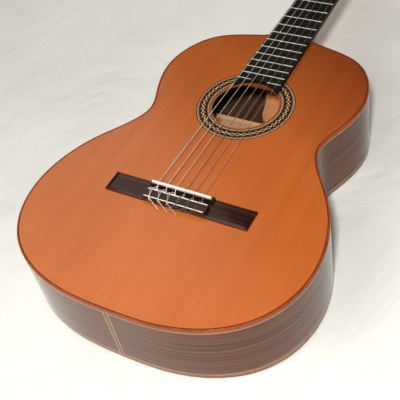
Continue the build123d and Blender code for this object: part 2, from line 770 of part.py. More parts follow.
# String number: side of the head and place along it.  Strings 1 to 3 are the trebles.
TUNERS = {
    1: (1, ROLLER_ALONG[0]),
    2: (1, ROLLER_ALONG[1]),
    3: (1, ROLLER_ALONG[2]),
    4: (-1, ROLLER_ALONG[2]),
    5: (-1, ROLLER_ALONG[1]),
    6: (-1, ROLLER_ALONG[0]),
}
for number, (side, along) in TUNERS.items():
    axle_place = Location(Plane(head_point(0, along, ROLLER_UP), HEAD.x_dir, HEAD.z_dir))
    worm_place = Location(
        Plane(
            head_point(side * GEAR_X, along - MESH_DISTANCE, ROLLER_UP), HEAD.y_dir, HEAD.z_dir
        )
    )
    with BuildPart() as roller:
        add(roller_shape(side).moved(axle_place))
    save(roller.part, f"roller_{number}")
    with BuildPart() as gear:
        add(gear_with_screw(side).moved(axle_place))
    save(gear.part, f"gear_{number}")
    with BuildPart() as worm:
        add(WORM.moved(worm_place))
    save(worm.part, f"worm_{number}")
    with BuildPart() as button:
        add(BUTTON.moved(worm_place))
    save(button.part, f"button_{number}")


def plate_for(side):
    """The plate on the head's edge, with two lugs for each worm, in the head's frame."""
    inner = side * HEAD_HALF_W
    face = Plane(origin=(inner, 0, ROLLER_UP), x_dir=(0, side, 0), z_dir=(side, 0, 0))
    middle = (PLATE_ENDS[0] + PLATE_ENDS[1]) / 2 * side
    with BuildPart() as plate:
        with BuildSketch(face):
            with Locations((middle, 0)):
                RectangleRounded(PLATE_ENDS[1] - PLATE_ENDS[0], 2 * PLATE_HALF_H, 3)
            with Locations([(side * along, 0) for along in ROLLER_ALONG]):
                Circle(HUB_R + ROLLER_FIT, mode=Mode.SUBTRACT)
            with Locations([(side * along, 0) for along in PLATE_SCREWS]):
                Circle(PLATE_SCREW_R, mode=Mode.SUBTRACT)
        extrude(amount=PLATE_T)
        for along in ROLLER_ALONG:
            for direction in (-1, 1):
                low = Plane(
                    origin=(inner, along - MESH_DISTANCE, ROLLER_UP + direction * LUG_UP),
                    x_dir=(1, 0, 0),
                    z_dir=(0, 0, direction),
                )
                reach = GEAR_X - HEAD_HALF_W
                with BuildSketch(low):
                    with Locations((side * (PLATE_T + reach) / 2, 0)):
                        Rectangle(reach - PLATE_T, LUG_W)
                    with Locations((side * reach, 0)):
                        Circle(LUG_W / 2)
                        Circle(SHAFT_R + ROLLER_FIT, mode=Mode.SUBTRACT)
                extrude(amount=LUG_T)
    return plate.part


def screws_for(side):
    """The wood screws of one plate, with domed heads, in the head's frame."""
    outside = Plane(
        origin=(side * (HEAD_HALF_W + PLATE_T), 0, ROLLER_UP), x_dir=(0, side, 0), z_dir=(side, 0, 0)
    )
    with BuildPart() as screws:
        places = [(side * along, 0) for along in PLATE_SCREWS]
        with BuildSketch(outside):
            with Locations(places):
                Circle(PLATE_SCREW_HEAD_R)
        extrude(amount=0.9, taper=25)
        with BuildSketch(outside):
            with Locations(places):
                Circle(PLATE_SCREW_R)
        extrude(amount=-PLATE_SCREW_L)
        with BuildSketch(outside.offset(0.9)):
            with Locations(places):
                Rectangle(4 * PLATE_SCREW_R, 0.5)
        extrude(amount=-0.4, mode=Mode.SUBTRACT)
    return screws.part


on_head = Location(HEAD)
with BuildPart() as tuner_plate_bass:
    add(plate_for(-1).moved(on_head))
save(tuner_plate_bass.part, "tuner_plate_bass")
with BuildPart() as tuner_plate_treble:
    add(plate_for(1).moved(on_head))
save(tuner_plate_treble.part, "tuner_plate_treble")
with BuildPart() as plate_screws:
    add(screws_for(-1).moved(on_head))
    add(screws_for(1).moved(on_head))
save(plate_screws.part, "plate_screws")

# ---- Nut, saddle and bridge --------------------------------------------------------------
BRIDGE_HALF_L = 95.5
BRIDGE_AHEAD = 4.9          # from the saddle's middle to the bridge's front and rear edges
BRIDGE_BEHIND = 23.9
WING_H = 3.6
WING_EDGE_H = 1.8
BRIDGE_BLOCK_HALF = 42.0    # saddle and tie block part, from the centre line
BLOCK_H = 8.4
SADDLE_HALF = 39.8
SADDLE_W = 3.2
SADDLE_SLOT_H = 4.6         # height of the slot's floor above the soundboard
VALLEY = (3.2, 9.6)         # between saddle and tie block, behind the saddle's middle
VALLEY_H = 3.4
TIE_REAR = 22.9
BONE_W = 1.7
BONE_H = 1.6
TIE_HOLE_H = 5.0
TIE_HOLE_R = 0.85

with BuildPart() as bridge:
    front = SADDLE_Y + BRIDGE_AHEAD
    rear = SADDLE_Y - BRIDGE_BEHIND
    with BuildSketch(Plane.YZ.offset(-BRIDGE_HALF_L)):
        with BuildLine():
            Polyline(
                (rear, TOP),
                (rear, TOP + WING_EDGE_H),
                (rear + 2.5, TOP + WING_H),
                (front - 2.5, TOP + WING_H),
                (front, TOP + WING_EDGE_H),
                (front, TOP),
                close=True,
            )
        make_face()
    extrude(amount=2 * BRIDGE_HALF_L)
    for side in (-1, 1):
        tip = (side * BRIDGE_HALF_L, TOP + WING_EDGE_H)
        with BuildSketch(Plane.XZ.offset(-front - 1)):
            with BuildLine():
                Polyline(
                    tip,
                    (side * (BRIDGE_HALF_L - 6), TOP + WING_H),
                    (side * (BRIDGE_HALF_L - 6), TOP + 2 * WING_H),
                    (side * (BRIDGE_HALF_L + 1), TOP + 2 * WING_H),
                    (side * (BRIDGE_HALF_L + 1), TOP + WING_EDGE_H),
                    close=True,
                )
            make_face()
        extrude(amount=BRIDGE_AHEAD + BRIDGE_BEHIND + 2, mode=Mode.SUBTRACT)
    with BuildSketch(Plane.YZ.offset(-BRIDGE_BLOCK_HALF)):
        with BuildLine():
            Polyline(
                (SADDLE_Y - TIE_REAR - 0.4, TOP + 1),
                (SADDLE_Y - TIE_REAR, TOP + BLOCK_H),
                (SADDLE_Y - VALLEY[1], TOP + BLOCK_H),
                (SADDLE_Y - VALLEY[1], TOP + VALLEY_H),
                (SADDLE_Y - VALLEY[0], TOP + VALLEY_H),
                (SADDLE_Y - VALLEY[0], TOP + BLOCK_H),
                (SADDLE_Y + VALLEY[0], TOP + BLOCK_H),
                (front, TOP + WING_EDGE_H),
                (front, TOP + 1),
                close=True,
            )
        make_face()
    extrude(amount=2 * BRIDGE_BLOCK_HALF)
    with Locations((0, SADDLE_Y, TOP + SADDLE_SLOT_H)):
        Box(
            2 * SADDLE_HALF,
            SADDLE_W,
            BLOCK_H,
            align=(Align.CENTER, Align.CENTER, Align.MIN),
            mode=Mode.SUBTRACT,
        )
    for edge, direction in ((-VALLEY[1], -1), (-TIE_REAR, 1)):
        with Locations((0, SADDLE_Y + edge + direction * BONE_W / 2, TOP + BLOCK_H)):
            Box(
                2 * SADDLE_HALF,
                BONE_W,
                BONE_H,
                align=(Align.CENTER, Align.CENTER, Align.MAX),
                mode=Mode.SUBTRACT,
            )

with BuildPart() as tie_block_bone:
    for edge, direction in ((-VALLEY[1], -1), (-TIE_REAR, 1)):
        with Locations((0, SADDLE_Y + edge + direction * BONE_W / 2, TOP + BLOCK_H)):
            Box(2 * SADDLE_HALF, BONE_W, BONE_H, align=(Align.CENTER, Align.CENTER, Align.MAX))
    fillet(tie_block_bone.faces().group_by(Axis.Z)[-1].edges().filter_by(Axis.X), radius=0.4)
save(tie_block_bone.part, "tie_block_bone")


# ---- Strings -----------------------------------------------------------------------------
WIND_GAP = 0.25             # between a roller and the string wound on it
WIND_TURNS = 4
STRING_X = {1: 19.5, 2: 17.0, 3: 15.0, 4: -15.0, 5: -17.0, 6: -19.5}    # on the rollers
LOOP_ASIDE = 2.4            # the tied end lies beside the string
TAIL_OUT = 1.6              # loop behind the tie block


def across(number, spread):
    """Sideways place of a string where the outer two are this far apart."""
    return (3.5 - number) * spread / 5


def string_shape(number):
    """One string: wound on its roller, over nut and saddle, and tied to the bridge."""
    radius = STRING_RADII[number - 1]
    side, along = TUNERS[number]
    wound_r = ROLLER_R + WIND_GAP + radius
    centre = head_point(STRING_X[number], along, ROLLER_UP)
    at_nut = Vector(across(number, NUT_SPREAD), NUT_Y + 1.2, NUT_STRING_Z)
    lean = asin((at_nut.Z - centre.Z - wound_r) / (centre.Y - at_nut.Y))
    leave = centre + Vector(0, sin(lean), cos(lean)) * wound_r
    x = across(number, SADDLE_SPREAD)
    aside = x - LOOP_ASIDE
    over = TOP + BLOCK_H + radius + 0.05
    front = SADDLE_Y - VALLEY[1]
    rear = SADDLE_Y - TIE_REAR - TAIL_OUT
    route = [
        leave,
        at_nut,
        (x, SADDLE_Y, SADDLE_STRING_Z),
        (x, front + 0.8, TOP + TIE_HOLE_H),
        (x, rear, TOP + TIE_HOLE_H),
        (aside, rear, over),
        (aside, front + TAIL_OUT, over),
        (aside, front + TAIL_OUT, TOP + TIE_HOLE_H + 0.2),
    ]
    with BuildPart() as string:
        with BuildLine() as line:
            FilletPolyline(*route, radius=1.3)
        path = line.wires()[0]
        with BuildSketch(Plane(origin=path @ 0, z_dir=path % 0)):
            Circle(radius)
        sweep(path=path)
        pitch = 1.9 * radius
        with BuildSketch(Plane(origin=centre, x_dir=(1, 0, 0), z_dir=(0, -1, 0))):
            for turn in range(WIND_TURNS):
                with Locations(((turn - (WIND_TURNS - 1) / 2) * pitch, wound_r)):
                    Circle(radius)
        revolve(axis=Axis(centre, (1, 0, 0)))
    return string.part


strings = {number: string_shape(number) for number in TUNERS}
for number, shape in strings.items():
    save(shape, f"string_{number}")

with BuildPart() as drilled_bridge:
    add(bridge.part)
    for number in TUNERS:
        place = (across(number, SADDLE_SPREAD), TOP + TIE_HOLE_H)
        with BuildSketch(Plane.XZ.offset(TIE_REAR + 2 - SADDLE_Y)):
            with Locations(place):
                Circle(TIE_HOLE_R)
        extrude(amount=-(TIE_REAR + 2 - VALLEY[1] + 1), mode=Mode.SUBTRACT)
save(drilled_bridge.part, "bridge")

with BuildPart() as saddle:
    with BuildSketch(Plane.YZ.offset(-SADDLE_HALF)):
        with BuildLine():
            crown_z = SADDLE_STRING_Z - 1.4
            crown = ThreePointArc(
                (SADDLE_Y - SADDLE_W / 2, crown_z),
                (SADDLE_Y, SADDLE_STRING_Z),
                (SADDLE_Y + SADDLE_W / 2, crown_z),
            )
            floor_z = TOP + SADDLE_SLOT_H
            Polyline(
                crown @ 1, (SADDLE_Y + SADDLE_W / 2, floor_z), (SADDLE_Y - SADDLE_W / 2, floor_z), crown @ 0
            )
        make_face()
    extrude(amount=2 * SADDLE_HALF)
    for shape in strings.values():
        add(shape, mode=Mode.SUBTRACT)
save(saddle.part, "saddle")

with BuildPart() as nut:
    with BuildSketch(Plane.YZ.offset(-NUT_W / 2)):
        with BuildLine():
            Polyline(
                (NUT_Y, TOP),
                (NUT_Y, NUT_STRING_Z + 0.1),
                (NUT_Y + 1.6, NUT_STRING_Z + 0.1),
                (NUT_Y + NUT_T, NUT_STRING_Z - 1.4),
                (NUT_Y + NUT_T, TOP),
                close=True,
            )
        make_face()
    extrude(amount=NUT_W)
    for shape in strings.values():
        add(shape, mode=Mode.SUBTRACT)
save(nut.part, "nut")
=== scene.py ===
from math import asin, cos, radians, sin, tau

import bpy
from mathutils import Matrix, Vector


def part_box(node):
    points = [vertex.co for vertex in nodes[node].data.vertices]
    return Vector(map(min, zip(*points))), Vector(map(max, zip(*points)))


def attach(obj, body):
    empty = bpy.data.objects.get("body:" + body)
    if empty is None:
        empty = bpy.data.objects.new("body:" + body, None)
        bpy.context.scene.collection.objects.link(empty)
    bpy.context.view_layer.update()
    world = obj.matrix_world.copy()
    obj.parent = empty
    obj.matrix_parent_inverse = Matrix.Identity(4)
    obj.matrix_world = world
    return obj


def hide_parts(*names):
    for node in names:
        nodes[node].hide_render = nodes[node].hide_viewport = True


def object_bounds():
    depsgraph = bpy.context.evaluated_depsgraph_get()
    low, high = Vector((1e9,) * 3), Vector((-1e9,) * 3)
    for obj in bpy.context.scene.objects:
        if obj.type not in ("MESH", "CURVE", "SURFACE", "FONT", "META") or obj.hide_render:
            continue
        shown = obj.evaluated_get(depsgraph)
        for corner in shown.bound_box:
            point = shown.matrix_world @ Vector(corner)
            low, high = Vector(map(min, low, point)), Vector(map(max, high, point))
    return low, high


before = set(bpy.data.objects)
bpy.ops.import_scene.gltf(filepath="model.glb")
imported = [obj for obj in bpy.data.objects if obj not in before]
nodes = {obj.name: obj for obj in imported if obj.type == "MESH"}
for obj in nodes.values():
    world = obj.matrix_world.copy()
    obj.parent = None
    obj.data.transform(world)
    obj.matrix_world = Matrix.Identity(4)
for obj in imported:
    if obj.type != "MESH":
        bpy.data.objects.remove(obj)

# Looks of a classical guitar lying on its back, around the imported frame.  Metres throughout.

cad_low, cad_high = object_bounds()
MM = 0.001

# ---- Places read from the frame ----------------------------------------------------------
board_low, board_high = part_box("soundboard")
TOP = board_high.z
rosette_low, rosette_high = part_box("rosette")
HOLE = Vector(((rosette_low.x + rosette_high.x) / 2, (rosette_low.y + rosette_high.y) / 2, TOP))
ROSETTE_OUTER = (rosette_high.x - rosette_low.x) / 2
saddle_low, saddle_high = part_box("saddle")
SADDLE_Y = (saddle_low.y + saddle_high.y) / 2
nut_low, nut_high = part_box("nut")
NUT_Y = nut_low.y
FLOOR_Z = cad_low.z

# ---- Camera ------------------------------------------------------------------------------
CAMERA_FROM_NUT = Vector((0.4059, -1.1176, 0.6493))      # above the soundboard's plane
AIM_FROM_NUT = Vector((0.0231, -0.6302, 0.0))
CAMERA_ROLL = radians(-13.37)
CAMERA_LENS = 69.73


def place_camera():
    data = bpy.data.cameras.new("camera")
    data.lens = CAMERA_LENS
    data.sensor_width = 36.0
    data.clip_start = 0.01
    camera = bpy.data.objects.new("camera", data)
    bpy.context.scene.collection.objects.link(camera)
    zero = Vector((0, NUT_Y, TOP))
    forward = (AIM_FROM_NUT - CAMERA_FROM_NUT).normalized()
    level = forward.cross(Vector((0, 0, 1))).normalized()
    upright = level.cross(forward)
    right = level * cos(CAMERA_ROLL) + upright * sin(CAMERA_ROLL)
    up = right.cross(forward)
    turn = Matrix((right, up, -forward)).transposed()
    camera.matrix_world = Matrix.Translation(zero + CAMERA_FROM_NUT) @ turn.to_4x4()
    bpy.context.scene.camera = camera


# ---- Light -------------------------------------------------------------------------------
VIEW_GAMMA = 0.87
SKY_COLOUR = (1.0, 0.985, 0.96, 1)
SKY_STRENGTH = 0.075
LAMP_DIRECTION = Vector((0.42, -0.81, 1.0)).normalized()    # from the hole to the lamp
LAMP = HOLE + LAMP_DIRECTION * 1.3
WHITE = (1.0, 1.0, 1.0)
# Name, place, aim, size, power in watts, colour, spread in degrees.  The far light leans a
# millimetre from straight down, so that its long side keeps to X.
LIGHTS = (
    ("lamp", LAMP, HOLE, (0.13, 0.13), 16.5, (1.0, 0.98, 0.94), 180),
    ("soft", (-0.55, -1.45, 1.3), (0, -0.3, 0.1), (1.0, 1.0), 7.6, WHITE, 180),
    ("sheen", (-1.05, 0.25, 1.3), (-0.1, -0.3, 0.1), (1.1, 1.2), 6.2, (1.0, 0.90, 0.76), 180),
    ("far", (-0.7, 1.9, 2.2), (-0.7, 1.901, 0), (3.0, 1.6), 44, WHITE, 68),
)


def area_light(name, place, aim, size, power, colour, spread):
    data = bpy.data.lights.new(name, "AREA")
    data.shape = "RECTANGLE"
    data.size, data.size_y = size
    data.energy = power
    data.color = colour
    data.spread = radians(spread)
    light = bpy.data.objects.new(name, data)
    light.location = place
    light.rotation_euler = (Vector(aim) - Vector(place)).to_track_quat("-Z", "Y").to_euler()
    bpy.context.scene.collection.objects.link(light)


def light_studio():
    bpy.context.scene.view_settings.view_transform = "Standard"
    bpy.context.scene.view_settings.gamma = VIEW_GAMMA
    world = bpy.data.worlds.new("studio")
    world.use_nodes = True
    background = world.node_tree.nodes["Background"]
    background.inputs["Color"].default_value = SKY_COLOUR
    background.inputs["Strength"].default_value = SKY_STRENGTH
    bpy.context.scene.world = world
    for light in LIGHTS:
        area_light(*light)


# ---- Material building blocks ------------------------------------------------------------
VARNISHED = 0.5             # with more coat than this, nearly all gloss comes from the coat


class Surface:
    """A node material under construction, with shorthands for the nodes that it uses."""

    def __init__(self, name, **settings):
        self.material = bpy.data.materials.new(name)
        self.material.use_nodes = True
        self.tree = self.material.node_tree
        self.shader = self.tree.nodes["Principled BSDF"]
        if settings.get("Coat_Weight", 0) > VARNISHED:
            self.shader.inputs["Specular IOR Level"].default_value = 0.1
        for socket, value in settings.items():
            self.shader.inputs[socket.replace("_", " ")].default_value = value
        self.place = self.node("ShaderNodeTexCoord").outputs["Object"]

    def node(self, kind, inputs=None, **properties):
        made = self.tree.nodes.new(kind)
        for key, value in properties.items():
            setattr(made, key, value)
        for key, value in (inputs or {}).items():
            if isinstance(value, bpy.types.NodeSocket):
                self.tree.links.new(value, made.inputs[key])
            else:
                made.inputs[key].default_value = value
        return made

    def math(self, operation, first, second=0.0, third=0.0):
        inputs = {0: first, 1: second, 2: third}
        return self.node("ShaderNodeMath", inputs, operation=operation).outputs[0]

    def stretch(self, scale, place=None, shift=(0, 0, 0)):
        inputs = {"Vector": place or self.place, "Scale": scale, "Location": shift}
        return self.node("ShaderNodeMapping", inputs).outputs["Vector"]

    def noise(self, scale, detail=3.0, place=None, shift=(0, 0, 0), distortion=0.0):
        inputs = {
            "Vector": self.stretch(scale, place, shift),
            "Scale": 1.0,
            "Detail": detail,
            "Distortion": distortion,
        }
        return self.node("ShaderNodeTexNoise", inputs).outputs["Fac"]

    def ramp(self, value, stops, interpolation="LINEAR"):
        made = self.node("ShaderNodeValToRGB", {"Fac": value})
        ramp = made.color_ramp
        ramp.interpolation = interpolation
        while len(ramp.elements) < len(stops):
            ramp.elements.new(0.5)
        for element, (position, colour) in zip(ramp.elements, stops):
            element.position = position
            element.color = (*colour, 1.0)
        return made.outputs["Color"]

    def blend(self, factor, first, second, mode="MIX"):
        made = self.node("ShaderNodeMix", data_type="RGBA", blend_type=mode)
        for index, value in ((0, factor), (6, first), (7, second)):
            if isinstance(value, bpy.types.NodeSocket):
                self.tree.links.new(value, made.inputs[index])
            elif index == 0:
                made.inputs[0].default_value = value
            else:
                made.inputs[index].default_value = (*value, 1.0)
        return made.outputs[2]

    def ring(self, share, limits):
        """1 between two limits and 0 elsewhere."""
        above = self.math("GREATER_THAN", share, limits[0])
        return self.math("MULTIPLY", above, self.math("LESS_THAN", share, limits[1]))

    def colour(self, socket):
        self.tree.links.new(socket, self.shader.inputs["Base Color"])

    def roughness(self, value, low, high):
        inputs = {"Value": value, "To Min": low, "To Max": high}
        spread = self.node("ShaderNodeMapRange", inputs).outputs["Result"]
        self.tree.links.new(spread, self.shader.inputs["Roughness"])

    def bump(self, height, distance, strength=1.0):
        inputs = {"Height": height, "Distance": distance, "Strength": strength}
        made = self.node("ShaderNodeBump", inputs)
        self.tree.links.new(made.outputs["Normal"], self.shader.inputs["Normal"])

    def split(self, place=None):
        return self.node("ShaderNodeSeparateXYZ", {0: place or self.place}).outputs

    def join(self, x, y, z):
        return self.node("ShaderNodeCombineXYZ", {0: x, 1: y, 2: z}).outputs[0]


# ---- Materials ---------------------------------------------------------------------------
CEDAR_DARK = (0.475, 0.131, 0.027)
CEDAR = (0.515, 0.148, 0.032)
CEDAR_LIGHT = (0.555, 0.166, 0.038)
BAND_TINT = (0.84, 0.76, 0.70)
CLOUD_TINT = (0.80, 0.72, 0.66)
PAINTED_SHADE_TINT = (0.56, 0.44, 0.34)      # painted shade: the top darkened toward the neck on the treble side
PAINTED_SHADE_FROM = Vector((0.06, -0.05))   # aside from the centre line, and along from the hole


def cedar():
    """Glossy cedar: fine straight grain along Y, broad bands, a mirrored centre joint and painted shade
    toward the neck on the treble side.
    """
    made = Surface("cedar_gloss", Coat_Weight=0.9, Coat_Roughness=0.22, IOR=1.5)
    x, y, z = made.split()
    mirrored = made.join(made.math("ABSOLUTE", x), y, z)
    fine = made.noise((1500, 9, 200), 4, mirrored)
    lines = made.noise((420, 3, 60), 2, mirrored, (3, 1, 0))
    broad = made.noise((46, 1.6, 10), 3, mirrored, (7, 2, 0))
    cloud = made.noise((7, 5, 5), 2, made.place, (1, 4, 0))
    grain = made.math("ADD", made.math("MULTIPLY", fine, 0.5), made.math("MULTIPLY", lines, 0.5))
    colour = made.ramp(grain, ((0.30, CEDAR_DARK), (0.50, CEDAR), (0.72, CEDAR_LIGHT)))
    bands = made.ramp(broad, ((0.35, BAND_TINT), (0.65, WHITE)))
    colour = made.blend(0.35, colour, bands, "MULTIPLY")
    clouds = made.ramp(cloud, ((0.35, CLOUD_TINT), (0.7, WHITE)))
    colour = made.blend(0.35, colour, clouds, "MULTIPLY")
    # Painted shade: the top darkens by up to about half toward the neck on the treble side, standing in
    # for uneven light.
    aside = made.math("MULTIPLY", made.math("SUBTRACT", x, PAINTED_SHADE_FROM.x), 0.9)
    along = made.math("SUBTRACT", y, HOLE.y + PAINTED_SHADE_FROM.y)
    painted_shade = made.ramp(made.math("ADD", aside, along), ((0.02, WHITE), (0.22, PAINTED_SHADE_TINT)))
    made.colour(made.blend(1.0, colour, painted_shade, "MULTIPLY"))
    made.roughness(grain, 0.30, 0.42)
    made.bump(grain, 0.00002, 0.4)
    return made.material


def rosewood(name, stripe_axis, dark, light, gloss=0.9):
    """Rosewood with streaks; stripe_axis is the axis that crosses the streaks."""
    made = Surface(name, Coat_Weight=gloss, Coat_Roughness=0.08, IOR=1.5)
    x, y, z = made.split()
    mirrored = made.join(made.math("ABSOLUTE", x), y, z)
    wide = [0.7, 0.7, 0.7]
    thin = [4.0, 4.0, 4.0]
    wide["XYZ".index(stripe_axis)] = 150.0
    thin["XYZ".index(stripe_axis)] = 900.0
    bands = made.noise(wide, 4, mirrored, (2, 5, 1))
    streaks = made.noise(thin, 3, mirrored, (8, 1, 4))
    mix = made.math("ADD", made.math("MULTIPLY", bands, 0.72), made.math("MULTIPLY", streaks, 0.28))
    middle = tuple((a + b) / 2 for a, b in zip(dark, light))
    stops = ((0.34, dark), (0.45, middle), (0.51, dark), (0.60, light), (0.70, middle))
    made.colour(made.ramp(mix, stops))
    made.roughness(streaks, 0.25, 0.45)
    made.bump(streaks, 0.00003, 0.5)
    return made.material


def plain_wood(name, low, high, along="Y", gloss=0.3, cells=700, bare_and_lit=None):
    """Straight-grained wood, with its grain along one axis, and an optional colour for inside the body:
    partly bare wood, partly painted light.
    """
    made = Surface(name, Coat_Weight=gloss, Coat_Roughness=0.2, IOR=1.5)
    scale = [cells, cells, cells]
    scale["XYZ".index(along)] = 12
    grain = made.noise(scale, 4, shift=(4, 2, 7))
    cloud = made.noise((14, 9, 14), 2)
    both = made.math("ADD", made.math("MULTIPLY", grain, 0.6), made.math("MULTIPLY", cloud, 0.4))
    colour = made.ramp(both, ((0.36, low), (0.64, high)))
    # Inside the body, a paler colour: partly bare unfinished wood, partly painted light.
    if bare_and_lit:
        inside = made.math("LESS_THAN", made.split()[1], board_high.y - 2 * MM)
        colour = made.blend(inside, colour, bare_and_lit)
    made.colour(colour)
    made.roughness(grain, 0.35, 0.6)
    made.bump(grain, 0.00003, 0.5)
    return made.material


def ebony():
    made = Surface("ebony_satin", IOR=1.5, Specular_IOR_Level=0.2)
    pores = made.noise((1800, 40, 1800), 3)
    cloud = made.noise((60, 8, 60), 2)
    made.colour(made.ramp(cloud, ((0.35, (0.010, 0.008, 0.006)), (0.7, (0.022, 0.019, 0.015)))))
    made.roughness(pores, 0.42, 0.6)
    made.bump(pores, 0.00001, 0.3)
    return made.material


def bone():
    made = Surface("bone", Coat_Weight=0.3, Coat_Roughness=0.2, IOR=1.54)
    made.shader.inputs["Subsurface Weight"].default_value = 0.15
    made.shader.inputs["Subsurface Radius"].default_value = (0.002, 0.0016, 0.001)
    fibre = made.noise((60, 900, 900), 3)
    made.colour(made.ramp(fibre, ((0.35, (0.78, 0.73, 0.60)), (0.6, (0.88, 0.85, 0.76)))))
    made.roughness(fibre, 0.22, 0.4)
    return made.material


def metal(name, low, high, rough=(0.16, 0.34), brush=(900, 900, 60), metallic=1.0):
    made = Surface(name, Metallic=metallic)
    scratches = made.noise(brush, 3)
    cloud = made.noise((120, 120, 120), 2)
    made.colour(made.ramp(cloud, ((0.35, low), (0.65, high))))
    made.roughness(scratches, *rough)
    made.bump(scratches, 0.00001, 0.3)
    return made.material


def pearl():
    made = Surface("pearl", Coat_Weight=1.0, Coat_Roughness=0.05, IOR=1.5)
    swirl = made.noise((150, 150, 150), 4, distortion=1.6)
    stops = ((0.3, (0.72, 0.68, 0.60)), (0.5, (0.90, 0.87, 0.82)), (0.62, (0.80, 0.80, 0.78)))
    made.colour(made.ramp(swirl, stops))
    made.roughness(swirl, 0.15, 0.35)
    return made.material


def nylon():
    made = Surface("nylon", IOR=1.53, Transmission_Weight=0.9)
    haze = made.noise((400, 400, 400), 2)
    made.colour(made.ramp(haze, ((0.3, (0.80, 0.80, 0.78)), (0.7, (0.92, 0.92, 0.90)))))
    made.roughness(haze, 0.12, 0.25)
    return made.material


# ---- Rosette -----------------------------------------------------------------------------
INK = (0.006, 0.008, 0.006)
CREAM = (0.72, 0.50, 0.33)
TAN = (0.22, 0.10, 0.045)
ORANGE = (0.52, 0.25, 0.10)
ROPE_COUNT = 96            # turns of the rope pattern round the ring
ROPE_SLANT = 26.0           # turns that the rope pattern leans by, from centre to rim
ROPES = ((0.726, 0.770), (0.946, 0.986))    # rings, as shares of the rosette's outer radius
MOSAIC = (0.818, 0.904)
HAIRLINES = (0.794, 0.924)  # thin pale rings in the dark ones
HAIRLINE_W = 0.005
TILE_COUNT = 44             # repeats of the mosaic motif
TILE_ROWS = 3
TILE_COLUMNS = 4


def rosette_material():
    """Rings of rope pattern, dark lines and a mosaic of small tiles, laid out round the hole."""
    made = Surface("rosette_inlay", Coat_Weight=0.9, Coat_Roughness=0.12, IOR=1.5, Roughness=0.35)
    x, y, z = made.split(made.stretch((1, 1, 1), shift=(-HOLE.x, -HOLE.y, 0)))
    square = made.math("ADD", made.math("MULTIPLY", x, x), made.math("MULTIPLY", y, y))
    share = made.math("DIVIDE", made.math("SQRT", square), ROSETTE_OUTER)
    turn = made.math("DIVIDE", made.math("ARCTAN2", y, x), tau)
    lean = made.math("MULTIPLY", share, ROPE_SLANT)
    stripe = made.math("FRACT", made.math("ADD", made.math("MULTIPLY", turn, ROPE_COUNT), lean))
    rope = made.ramp(stripe, ((0.0, CREAM), (0.50, TAN), (0.58, INK)), "CONSTANT")
    inner, outer = MOSAIC
    depth = made.math("DIVIDE", made.math("SUBTRACT", share, inner), outer - inner)
    row = made.math("FLOOR", made.math("MULTIPLY", depth, TILE_ROWS))
    row = made.math("ABSOLUTE", made.math("SUBTRACT", row, (TILE_ROWS - 1) / 2))
    motif = made.math("FRACT", made.math("MULTIPLY", turn, TILE_COUNT))
    column = made.math("FLOOR", made.math("MULTIPLY", motif, TILE_COLUMNS))
    column = made.math("ABSOLUTE", made.math("SUBTRACT", column, (TILE_COLUMNS - 1) / 2))
    diamond = made.math("DIVIDE", made.math("ADD", row, column), TILE_ROWS)
    tiles = made.ramp(diamond, ((0.0, CREAM), (0.33, INK), (0.67, ORANGE)), "CONSTANT")
    colour = made.blend(made.ring(share, MOSAIC), INK, tiles)
    for rope_ring in ROPES:
        colour = made.blend(made.ring(share, rope_ring), colour, rope)
    for radius in HAIRLINES:
        colour = made.blend(made.ring(share, (radius, radius + HAIRLINE_W)), colour, TAN)
    made.colour(colour)
    return made.material


# ---- Strings -----------------------------------------------------------------------------
STRING_RADII = (0.36, 0.42, 0.51, 0.37, 0.44, 0.54)     # millimetres, first to sixth
SADDLE_SPREAD = 61.0 * MM   # from the first string to the sixth
NUT_SPREAD = 42.0 * MM
NUT_REST = Vector((0, 1.2, 7.9)) * MM       # from the nut's edge at the soundboard's height
SADDLE_REST = Vector((0, 0, 11.6)) * MM
COIL_X = (19.5, 17.0, 15.0, -15.0, -17.0, -19.5)        # middle of each coil, millimetres
COIL_GAP = 0.25 * MM        # between a roller and its coil
COIL_PITCH = 1.95           # string radii from one turn to the next
COIL_STEPS = 20             # per turn
GROOVE = 0.05               # depth between windings, in string radii
WOUND_FROM = 4              # strings 4 to 6 are wound
WINDING_PITCH = 0.5 * MM
PLAIN_STEP = 0.6 * MM        # between rings of a plain string where it bends
PLAIN_LONG_STEP = 40 * MM    # and where it is straight
TUBE_SIDES = 8
WIND_TURNS = 4
# The tie, from the string's place on the saddle: aside, behind, above the soundboard (mm).
TIE_BASS = (
    (0, 3.5, 8.9), (0, 7.2, 6.2), (0, 9.9, 5.0), (0, 16, 5.0), (0, 23.6, 5.0), (-0.2, 25.7, 6.9),
    (-0.7, 23.4, 9.9), (-3.4, 16.5, 9.2), (-6.0, 10.6, 9.6), (-6.1, 8.4, 8.3), (-3.0, 7.3, 5.6),
    (0.3, 6.9, 4.8), (1.5, 6.6, 6.8), (0.2, 6.6, 8.7), (-2.4, 9.0, 9.7), (-2.0, 16.2, 9.4),
    (-0.3, 22.6, 9.7), (2.0, 25.3, 8.2), (8.0, 28.5, 5.6), (15.8, 32.5, 3.6),
)
TIE_TREBLE = (
    (0, 3.5, 8.9), (0, 7.2, 6.2), (0, 9.9, 5.0), (0, 16, 5.0), (0, 23.6, 5.0), (0.2, 25.4, 6.9),
    (0.4, 23.4, 9.6), (0.2, 16.5, 9.0), (-1.4, 10.6, 9.3), (-1.6, 8.4, 8.0), (0.2, 7.0, 5.2),
    (1.4, 6.8, 6.8), (-0.2, 7.4, 8.4), (-2.4, 10.2, 9.4), (-2.6, 16.2, 9.1), (-2.0, 22.8, 9.3),
    (-3.4, 25.0, 7.6), (-7.5, 27.0, 4.9), (-12.5, 26.0, 2.8),
)


